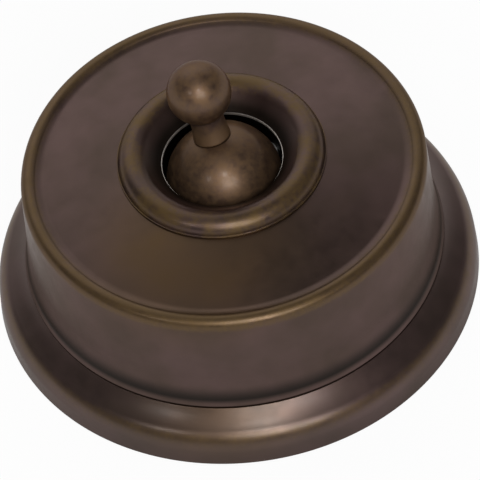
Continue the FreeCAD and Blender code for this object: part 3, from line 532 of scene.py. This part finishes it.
# %% Lathe helpers
ROUND = 192


def ring(bm, radius, height, count=ROUND, centre=(0.0, 0.0)):
    """A circle of vertices about a vertical axis, or one vertex where the radius is nothing."""
    if radius < TINY:
        return [bm.verts.new((centre[0] * MM, centre[1] * MM, height * MM))]
    angles = [2 * math.pi * i / count for i in range(count)]
    places = [(centre[0] + radius * math.cos(a), centre[1] + radius * math.sin(a)) for a in angles]
    return [bm.verts.new((x * MM, y * MM, height * MM)) for x, y in places]


def skin(bm, low, high):
    """Quads between two rings, or triangles where one of them is a single vertex."""
    count = max(len(low), len(high))
    for i in range(count):
        j = (i + 1) % count
        corners = [low[i % len(low)], low[j % len(low)], high[j % len(high)], high[i % len(high)]]
        bm.faces.new(list(dict.fromkeys(corners)))


def sweep(bm, points, closed):
    """Turn a section about Z and return its rings."""
    wear_and_shade = bm.verts.layers.float.get("wear_and_shade") or bm.verts.layers.float.new("wear_and_shade")
    along = bm.verts.layers.float.get("along") or bm.verts.layers.float.new("along")
    rings = []
    travelled = 0.0
    for i, (radius, height, wear_shade) in enumerate(points):
        if i:
            travelled += math.dist((radius, height), points[i - 1][:2])
        rings.append(ring(bm, radius, height))
        for vertex in rings[-1]:
            vertex[wear_and_shade] = wear_shade
            vertex[along] = travelled
    for low, high in zip(rings, rings[1:] + rings[:1] if closed else rings[1:]):
        skin(bm, low, high)
    return rings


print("each ring has", ROUND, "points, one every", 360 / ROUND, "degrees")

# %% [markdown]
# A finished mesh becomes a piece: it gets its finish, it is hung on the body of the switch that it
# rides on, and the piece of the frame that it stands for is hidden. Flat shading would show every
# facet of a turned part, and smooth shading alone would smear its corners, so it is smooth up to a set
# angle and sharp past it.

# %% From mesh to piece
SHARP = math.radians(35)


def piece_from(bm, name, material, body, node, place=None):
    """Make the object, smooth it up to sharp corners, hang it on its body and hide its frame piece."""
    bmesh.ops.recalc_face_normals(bm, faces=bm.faces)
    for face in bm.faces:
        face.smooth = True
    for edge in bm.edges:
        edge.smooth = len(edge.link_faces) == 2 and edge.calc_face_angle() < SHARP
    mesh = bpy.data.meshes.new(name)
    bm.to_mesh(mesh)
    bm.free()
    mesh.materials.append(material)
    if place:
        mesh.transform(place)
    piece = bpy.data.objects.new(name, mesh)
    bpy.context.scene.collection.objects.link(piece)
    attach(piece, body)
    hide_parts(node)
    print(name, len(mesh.vertices), "vertices")


print("corners over", round(math.degrees(SHARP)), "degrees stay sharp")

# %% [markdown]
# ## The base
# The base is a turned brass dish with a round shoulder, which runs up from a short upright side to
# the seat of the cover. Hands and cloths rub the shoulder to gold. The slope above it is darkened,
# partly as patina and partly as painted shade for the dark room that it mirrors at the sides.
# Its back is relieved so that only a rim meets the wall, and it is drilled for two wall screws, two
# body screws and the cable. The turned skin comes from one section. The drilled floor can't be turned,
# so its two flat faces are filled between circles and each hole is a short stack of rings.

# %% Turned base
BASE_ROUND = 0.12
HIDDEN_DARK = -0.6
# Darkening of the slope: partly patina, partly painted shade.
SLOPE_PATINA_AND_SHADE = -0.28
SHOULDER_GOLD = 0.65
GOLD_LEAN = 2.0
base_low, base_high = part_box("base_plate")
base_radius = (base_high.x - base_low.x) / 2 / MM
floor_top = 2.4
back_relief = 0.6
seat_height = 6.5
spigot_height = 8.0
land_radius = 26.0
spigot_radius = 24.4
dish_radius = 23.4
edge_bevel = 0.35
shoulder_bow = 0.37
slope_bow = -0.09
relief_edge = (land_radius, back_relief, HIDDEN_DARK)
land_inner = (land_radius, 0.0, 0.0)
land_outer = (base_radius - edge_bevel, 0.0, 0.1)
side_low = (base_radius, edge_bevel, 0.0)
side_top = (base_radius - 0.1, 2.2, 0.0)
shoulder = (side_top[0] - 1.45, side_top[1] + 2.57, SLOPE_PATINA_AND_SHADE)
seat_edge = (base_radius - 3.85, seat_height, SLOPE_PATINA_AND_SHADE)
seat_inner = (spigot_radius, seat_height, HIDDEN_DARK)
spigot_top = (spigot_radius, spigot_height, 0.0)
dish_top = (dish_radius, spigot_height, 0.0)
dish_floor = (dish_radius, floor_top, HIDDEN_DARK)
round_shoulder = rubbed(bowed(side_top, shoulder, shoulder_bow), SHOULDER_GOLD, GOLD_LEAN)
base_section = section(relief_edge, land_inner, land_outer, side_low, round_shoulder,
                       bowed(shoulder, seat_edge, slope_bow), seat_inner, spigot_top, dish_top,
                       dish_floor)
base_mesh = bmesh.new()
base_rings = sweep(base_mesh, softened(base_section, BASE_ROUND, False), False)
print("base section:", len(base_rings), "points")

# %% [markdown]
# Each hole is a list of radius and height from the back face up to the floor of the dish. The
# wall-screw holes are countersunk from the front and the body-screw holes from the back. Cutting them
# out of a plate would leave ragged faces round them, and rings of their own keep them round.

# %% Drilled floor of the base
HOLE_STEPS = 48
wall_hole = [(2.1, back_relief), (2.1, 1.5), (3.0, floor_top)]
body_hole = [(2.3, back_relief), (1.35, 1.55), (1.35, floor_top)]
cable_hole = [(4.0, back_relief), (4.0, floor_top)]
wall_hole_x = 19.6
body_hole_x = 14.6
cable_at = (-9.2, 9.0)
drilled = [(cable_hole, cable_at)]
for side in (-1, 1):
    drilled.append((wall_hole, (side * wall_hole_x, 0.0)))
    drilled.append((body_hole, (side * body_hole_x, 0.0)))
back_loops = [base_rings[0]]
floor_loops = [base_rings[-1]]
for hole, centre in drilled:
    rings = [ring(base_mesh, radius, height, HOLE_STEPS, centre) for radius, height in hole]
    for low, high in zip(rings, rings[1:]):
        skin(base_mesh, low, high)
    back_loops.append(rings[0])
    floor_loops.append(rings[-1])
for loops in (back_loops, floor_loops):
    edges = []
    for loop in loops:
        for i, vertex in enumerate(loop):
            pair = (vertex, loop[(i + 1) % len(loop)])
            edges.append(base_mesh.edges.get(pair) or base_mesh.edges.new(pair))
    bmesh.ops.triangle_fill(base_mesh, use_beauty=True, edges=edges)
piece_from(base_mesh, "turned_base", base_patina, "housing", "base_plate")

# %% [markdown]
# ## The cover
# The cover is spun from sheet over a former: a lip that sits on the base, a slight flare at the foot, a
# plain wall with a little taper, and a rim that rounds over into the top. Cloths rub the rim, so it
# wears to gold. The upper half of the lip and the foot of the wall are painted dark, fading upwards:
# painted shade for the shadowed floor and base that they mirror. The rim is part of one circle, so a
# function gives its points by their angle.

# %% Lip, wall and rim of the cover
# Painted shade on the upper lip and the foot of the wall, fading out upwards over a few millimetres.
LIP_PAINTED_SHADE = -0.8
SHADE_FADE = 2.6
lip_radius = seat_edge[0] - 0.05
lip_round = 0.3
lip_low = (lip_radius - lip_round, seat_height, 0.1)
lip_edge = (lip_radius, seat_height + lip_round, 0.0)
lip_crest = (lip_radius - 0.26, seat_height + 1.17, -0.75)
lip_top = (lip_radius - 0.28, seat_height + 1.25, LIP_PAINTED_SHADE)
flare_top = (lip_radius - 0.7, lip_top[1] + 3.75, 0.0)
flare_bow = -0.05
bead_centre = (23.95, 20.5)
bead_radius = 1.15
bead_end = 124
wall_top = (25.12, bead_centre[1] - 0.6, 0.0)


def on_bead(degrees, wear_shade):
    """A point of the rim, by its angle up from the outside."""
    angle = math.radians(degrees)
    return (bead_centre[0] + bead_radius * math.cos(angle),
            bead_centre[1] + bead_radius * math.sin(angle), wear_shade)


lip_foot = bowed(lip_low, lip_edge, bulge(lip_round, 90))
# The foot of the wall: painted shade that fades upwards.
foot_flare = [(radius, height, LIP_PAINTED_SHADE * max(0.0, 1 - (height - lip_top[1]) / SHADE_FADE))
              for radius, height, _ in bowed(lip_top, flare_top, flare_bow)]
bead_side = on_bead(0, 0.5)
bead_crest = on_bead(90, 0.75)
bead_inside = on_bead(bead_end, 0.45)
bead_outer = bowed(bead_side, bead_crest, bulge(bead_radius, 90))
bead_inner = bowed(bead_crest, bead_inside, bulge(bead_radius, bead_end - 90))
print("the rim is", round(2 * bead_side[0], 2), "mm across and", round(bead_crest[1], 2), "mm high")

# %% [markdown]
# The top is a shallow crown with a hole for the bush: one large circle through the edge of the top and
# the seat of the ring, and a second one inside it, a sheet's thickness down. Between the rim and the
# crown the sheet sinks into a hollow. Spun sheet has no sharp crease there, so an eased curve joins the
# two, and the light runs through it softly.

# %% Top and inside of the cover
COVER_ROUND = 0.08
CROWN_STEPS = 24
top_edge = (22.65, 21.2, -0.1)
ring_seat = (12.95, 23.1, 0.0)
sheet = 0.9
hole_radius = 9.8
cover_bore = 24.5
crown_middle = (ring_seat[0] ** 2 + ring_seat[1] ** 2 - top_edge[0] ** 2 - top_edge[1] ** 2)
crown_middle = crown_middle / (2 * (ring_seat[1] - top_edge[1]))
crown_radius = math.hypot(ring_seat[0], ring_seat[1] - crown_middle)


def crown(radius, depth=0.0, wear_shade=0.0):
    """A point of the crowned top, or of its underside where depth is the sheet's thickness."""
    return (radius, crown_middle + math.sqrt((crown_radius - depth) ** 2 - radius ** 2), wear_shade)


top_width = hole_radius - top_edge[0]
crown_radii = [top_edge[0] + top_width * i / CROWN_STEPS for i in range(CROWN_STEPS + 1)]
crown_outside = [crown(radius) for radius in crown_radii]
crown_inside = [crown(radius, sheet) for radius in reversed(crown_radii)]
rim_hollow = eased(bead_inside, top_edge, crown_outside[1])
inner_corner = (24.2, 20.1, 0.0)
bore_top = (cover_bore, spigot_height, 0.0)
bore_foot = (cover_bore, seat_height, -0.5)
cover_section = section(bore_foot, lip_foot, lip_crest, foot_flare, wall_top, bead_outer, bead_inner,
                        rim_hollow, crown_outside[2:], crown_inside, inner_corner, bore_top)
cover_mesh = bmesh.new()
sweep(cover_mesh, softened(cover_section, COVER_ROUND, True), True)
piece_from(cover_mesh, "spun_cover", cover_patina, "housing", "cover")
print("the crown is part of a ball of", round(crown_radius, 1), "mm radius")

# %% [markdown]
# ## The ring nut
# A ring nut clamps the cover to the bush. It is turned with a small square foot, a round crest and a
# throat that funnels down to the dolly. Fingers brush its crest, so gold shows there in patches. Its
# foot and step are lighter gold too: partly wear, and partly painted light that lifts the shade in
# the joint with the cover. The throat, which nothing reaches, goes black. Its foot and its spigot
# start on the crown, from the same function as the cover, so the two always meet.

# %% Ring nut
RING_ROUND = 0.06
UNDER_DARK = -0.4
foot_height = 0.3
throat_radius = 7.53
ring_bore = 8.6
ring_spigot = 9.7
bore_low = 20.4
crest_bow = 0.5
throat_bow = 0.17
# Foot and step: gold from wear, raised further as painted light against the shade in the joint.
ring_foot = crown(ring_seat[0], wear_shade=0.6)
ring_step_low = (ring_seat[0], ring_foot[1] + foot_height, 0.7)
ring_step = (12.83, ring_foot[1] + foot_height, 0.5)
ring_crest = (10.85, ring_foot[1] + 1.95, 0.55)
throat_top = (9.3, ring_crest[1] - 0.7, -0.15)
throat_low = (throat_radius, ring_foot[1] - 0.35, -1.0)
lip_under = (throat_radius, ring_foot[1] - 0.5, UNDER_DARK)
ring_bore_top = (ring_bore, lip_under[1], UNDER_DARK)
ring_bore_low = (ring_bore, bore_low, 0.0)
spigot_low = (ring_spigot, bore_low, 0.0)
ring_section = section(ring_foot, ring_step_low, ring_step, bowed(ring_step, ring_crest, crest_bow),
                       bowed(ring_crest, throat_top, throat_bow), throat_low, lip_under, ring_bore_top,
                       ring_bore_low, spigot_low, crown(ring_spigot))
ring_mesh = bmesh.new()
sweep(ring_mesh, softened(ring_section, RING_ROUND, True), True)
piece_from(ring_mesh, "ring_nut", ring_patina, "housing", "cover_ring")

# %% [markdown]
# ## The ball and neck
# The knob is turned in one piece with its neck and screwed into the dome. It leans with the dolly, so
# it is turned upright at the origin and then tipped about the dolly's own pivot, which the frame's
# joint gives. The frame's ball is made of flat facets, so the smooth one is a hair smaller to stay
# inside its box.

# %% Dolly knob
KNOB_ROUND = 0.1
BALL_STEPS = 48
LEAN = math.radians(-14.5)
NECK_GOLD = 0.6
# Painted shade where the neck meets the ball; the foot of the neck is rubbed gold.
NECK_TOP_SHADE = -0.4
FACET_SLACK = 0.005
dolly_joint = next(j for j in frame["joints"] if j["name"] == "dolly_toggle")
pivot = Vector(dolly_joint["pos_m"])
tipped = Matrix.Translation(pivot) @ Matrix.Rotation(LEAN, 4, "X")
ball_radius = 4.0 - FACET_SLACK
ball_centre = 13.75
dome_radius = 7.25
neck_radius = 2.35
waist_depth = 0.2
neck_waist = neck_radius - waist_depth
foot_bevel = 0.2
seam = 0.05
stem_radius = 1.5
stem_length = 3.6
land = math.sqrt(dome_radius ** 2 - (neck_radius + seam) ** 2)
stem_low = land - stem_length
neck_under = (neck_radius - foot_bevel, land, NECK_GOLD)
neck_foot = (neck_radius, land + foot_bevel, NECK_GOLD)
neck_top = (neck_waist, ball_centre - math.sqrt(ball_radius ** 2 - neck_waist ** 2), NECK_TOP_SHADE)
neck_bow = -(neck_radius - neck_waist) / 2
ball_low_angle = math.asin(neck_waist / ball_radius)
ball = []
for i in range(BALL_STEPS):
    angle = ball_low_angle + (math.pi - ball_low_angle) * i / BALL_STEPS
    ball.append((ball_radius * math.sin(angle), ball_centre - ball_radius * math.cos(angle), 0.0))
ball.append((0.0, ball_centre + ball_radius, 0.0))
knob_section = section((0.0, stem_low, 0.0), (stem_radius, stem_low, 0.0), (stem_radius, land, 0.0),
                       neck_under, bowed(neck_foot, neck_top, neck_bow), ball)
knob_mesh = bmesh.new()
sweep(knob_mesh, softened(knob_section, KNOB_ROUND, False), False)
piece_from(knob_mesh, "ball_and_neck", dolly_patina, "dolly", "dolly_knob", tipped)

# %% [markdown]
# ## The floor
# The switch lies on its back on a plain white floor. A lit white surface is never quite even, so to the
# camera, and in reflections of the floor further off, it is mostly a flat white, and a share of it
# stays a lit surface that keeps the shadow. Close to the switch, reflections see the lit floor alone,
# so the foot of the base mirrors its own shadow. Under the base, and seen from below, the floor is
# clear, so the back of the base can be looked at.

# %% Finish of the floor
FLAT_WHITE = 0.94
COVERED = 29.4
SHADOWED = 30.0
OUTSIDE = 37.0
PAINT = "F3F3F3"
GLOW = "FFFFFF"
# Matt white paint scatters light evenly: the eye finds no highlight on it, only a soft shadow.
floor_material, floor_tree, floor_shader = finish("white_floor")
floor_tree.nodes.remove(floor_shader)
path = add(floor_tree, "ShaderNodeLightPath")
spot = add(floor_tree, "ShaderNodeTexCoord").outputs["Object"]
away = add(floor_tree, "ShaderNodeVectorMath", {0: spot}, operation="LENGTH").outputs["Value"]
far = add(floor_tree, "ShaderNodeMapRange",
          {"Value": away, "From Min": SHADOWED * MM, "From Max": OUTSIDE * MM},
          interpolation_type="SMOOTHSTEP").outputs["Result"]
mirrored = add(floor_tree, "ShaderNodeMath", {0: path.outputs["Is Glossy Ray"], 1: far},
               operation="MULTIPLY").outputs[0]
seen = add(floor_tree, "ShaderNodeMath", {0: path.outputs["Is Camera Ray"], 1: mirrored},
           operation="MAXIMUM").outputs[0]
seen = add(floor_tree, "ShaderNodeMath", {0: seen, 1: FLAT_WHITE}, operation="MULTIPLY").outputs[0]
lit = add(floor_tree, "ShaderNodeBsdfDiffuse", {"Color": linear(PAINT)}).outputs[0]
white = add(floor_tree, "ShaderNodeEmission", {"Color": linear(GLOW), "Strength": 1.0}).outputs[0]
top_side = add(floor_tree, "ShaderNodeMixShader", {0: seen, 1: lit, 2: white}).outputs[0]
clear = add(floor_tree, "ShaderNodeBsdfTransparent").outputs[0]
under = add(floor_tree, "ShaderNodeNewGeometry").outputs["Backfacing"]
covered = add(floor_tree, "ShaderNodeMath", {0: away, 1: COVERED * MM}, operation="LESS_THAN").outputs[0]
open_here = add(floor_tree, "ShaderNodeMath", {0: under, 1: covered}, operation="MAXIMUM").outputs[0]
both = add(floor_tree, "ShaderNodeMixShader", {0: open_here, 1: top_side, 2: clear}).outputs[0]
floor_tree.links.new(both, floor_tree.nodes["Material Output"].inputs["Surface"])
print("floor finish:", len(floor_tree.nodes), "nodes")

# %% [markdown]
# The floor itself is one square, wide enough that the camera never sees its edge. It lies just under
# the base, so that the two faces don't flicker through each other.

# %% Floor
FLOOR_HALF = 3.0
FLOOR_DROP = 0.02
floor_mesh = bpy.data.meshes.new("floor")
corners = [(-FLOOR_HALF, -FLOOR_HALF, 0), (FLOOR_HALF, -FLOOR_HALF, 0), (FLOOR_HALF, FLOOR_HALF, 0),
           (-FLOOR_HALF, FLOOR_HALF, 0)]
floor_mesh.from_pydata(corners, [], [(0, 1, 2, 3)])
floor_mesh.materials.append(floor_material)
floor = bpy.data.objects.new("floor", floor_mesh)
floor.location.z = cad_box[0].z - FLOOR_DROP * MM
bpy.context.scene.collection.objects.link(floor)
print("floor at", round(floor.location.z, 6))

# %% [markdown]
# ## The camera
# The camera stands where the photograph was taken from: a metre off, about fifty degrees up, a little
# to the left of the line in which the dolly leans, and rolled a few degrees. A short lens close by would
# stretch the near edge of the base, and a long one from a metre keeps every circle an even oval.

# %% Camera
VIEW_TURN = math.radians(28.0)
VIEW_UP = math.radians(50.73)
VIEW_ROLL = math.radians(8.5)
VIEW_DISTANCE = 1.0
LENS = 603.7
SENSOR = 36.0
aim_aside = 0.70 * MM
aim_up = 6.66 * MM
right = Vector((math.cos(VIEW_TURN), -math.sin(VIEW_TURN), 0))
beyond = Vector((math.sin(VIEW_TURN), math.cos(VIEW_TURN), 0))
up = Vector((0, 0, 1))
look = beyond * math.cos(VIEW_UP) - up * math.sin(VIEW_UP)
tilt_up = beyond * math.sin(VIEW_UP) + up * math.cos(VIEW_UP)
camera_right = right * math.cos(VIEW_ROLL) - tilt_up * math.sin(VIEW_ROLL)
camera_up = right * math.sin(VIEW_ROLL) + tilt_up * math.cos(VIEW_ROLL)
camera_data = bpy.data.cameras.new("camera")
camera_data.lens = LENS
camera_data.sensor_width = SENSOR
camera = bpy.data.objects.new("camera", camera_data)
bpy.context.scene.collection.objects.link(camera)
camera_axes = Matrix((camera_right, camera_up, -look)).transposed().to_4x4()
camera_place = right * aim_aside + up * aim_up - look * VIEW_DISTANCE
camera.matrix_world = Matrix.Translation(camera_place) @ camera_axes
bpy.context.scene.camera = camera
print("camera at", [round(x, 3) for x in camera.matrix_world.translation])

# %% [markdown]
# ## The studio
# Brown metal shows what stands round it. The room is a plain one: dim at the sides, white behind the
# switch, greyer overhead and over the camera, dark high up at the right, and white again at the foot of
# the walls. An image of a room could give this, but here each is a soft round patch in some direction,
# mixed over the last, so the room has no edges to see and each patch can be tried by itself.

# %% Room light
ROOM = 0.14
HORIZON = 1.0
HORIZON_TOP = 0.3
scene = bpy.context.scene
world = bpy.data.worlds.new("studio")
scene.world = world
world.use_nodes = True
room = world.node_tree
room.nodes.clear()
way = add(room, "ShaderNodeTexCoord").outputs["Generated"]


def direction(turn, rise):
    """A direction from the switch: turn degrees to the right of straight back, rise degrees up."""
    level_way = beyond * math.cos(math.radians(turn)) + right * math.sin(math.radians(turn))
    return level_way * math.cos(math.radians(rise)) + up * math.sin(math.radians(rise))


def patch(level, turn, rise, inner, outer, value):
    """Mix a value into the level, fully within inner degrees of a direction, not at all past outer."""
    near = add(room, "ShaderNodeVectorMath", {0: way, 1: tuple(direction(turn, rise))},
               operation="DOT_PRODUCT").outputs["Value"]
    share = add(room, "ShaderNodeMapRange",
                {"Value": near, "From Min": math.cos(math.radians(outer)),
                 "From Max": math.cos(math.radians(inner))},
                interpolation_type="SMOOTHSTEP").outputs["Result"]
    return add(room, "ShaderNodeMix", {0: share, 2: level, 3: value}).outputs[0]


level = add(room, "ShaderNodeValue").outputs[0]
level.default_value = ROOM
back_wall = dict(turn=-5, rise=35, inner=15, outer=52, value=1.2)
ceiling = dict(turn=0, rise=90, inner=6, outer=24, value=0.7)
over_camera = dict(turn=180, rise=74, inner=4, outer=26, value=0.45)
dark_right = dict(turn=40, rise=67, inner=3, outer=25, value=0.1)
for place in (back_wall, ceiling, over_camera, dark_right):
    level = patch(level, **place)
steepness = add(room, "ShaderNodeSeparateXYZ", {0: way}).outputs["Z"]
low_down = add(room, "ShaderNodeMapRange",
               {"Value": steepness, "From Min": HORIZON_TOP, "From Max": 0.0},
               interpolation_type="SMOOTHSTEP").outputs["Result"]
level = add(room, "ShaderNodeMix", {0: low_down, 2: level, 3: HORIZON}).outputs[0]
background = add(room, "ShaderNodeBackground", {"Color": level, "Strength": 1.0}).outputs[0]
add(room, "ShaderNodeOutputWorld", {"Surface": background})
print("room level at the sides:", ROOM, "and behind:", back_wall["value"])

# %% [markdown]
# A wide softbox stands beside the camera and a little lower. It puts the broad highlight on the front
# of the base, and soft spots on the ball and the dome. It is an area light, because the width and
# height of the box are what set the shape of a highlight on metal. The camera sees only its reflection.

# %% Softbox
SOFTBOX_TURN = 171
SOFTBOX_RISE = 42
SOFTBOX_DISTANCE = 0.9
SOFTBOX_WIDTH = 0.44
SOFTBOX_HEIGHT = 0.30
SOFTBOX_LEVEL = 8.5
softbox_data = bpy.data.lights.new("softbox", "AREA")
softbox_data.shape = "RECTANGLE"
softbox_data.size = SOFTBOX_WIDTH
softbox_data.size_y = SOFTBOX_HEIGHT
softbox_data.energy = SOFTBOX_LEVEL * math.pi * SOFTBOX_WIDTH * SOFTBOX_HEIGHT
softbox = bpy.data.objects.new("softbox", softbox_data)
softbox_way = direction(SOFTBOX_TURN, SOFTBOX_RISE)
softbox.location = softbox_way * SOFTBOX_DISTANCE
softbox.rotation_euler = softbox_way.to_track_quat("Z", "Y").to_euler()
softbox.visible_camera = False
scene.collection.objects.link(softbox)
print("softbox power:", round(softbox_data.energy, 3))

# %% [markdown]
# Two lamps help it: one just over the camera, and a weaker one at its left. They are small, so only
# the polished dome and ball show them, as bright points, and rougher pieces hardly change.

# %% Lamps
LAMP_SIZE = 0.1
LAMP_LEVEL = 40.0


def lamp(name, turn, rise, share):
    """A small square lamp in a direction from the switch, at a share of the full level."""
    data = bpy.data.lights.new(name, "AREA")
    data.size = LAMP_SIZE
    data.energy = share * LAMP_LEVEL * math.pi * LAMP_SIZE ** 2
    lit_from = bpy.data.objects.new(name, data)
    towards = direction(turn, rise)
    lit_from.location = towards * SOFTBOX_DISTANCE
    lit_from.rotation_euler = towards.to_track_quat("Z", "Y").to_euler()
    lit_from.visible_camera = False
    scene.collection.objects.link(lit_from)
    print(name, "power:", round(data.energy, 3))


lamp("lamp_over_camera", turn=178, rise=59, share=1.0)
lamp("lamp_at_left", turn=225, rise=45, share=0.4)

# %% [markdown]
# ## The view transform
# The view transform is the plain one, so a colour comes out as it is written.

# %% View transform
scene.view_settings.view_transform = "Standard"
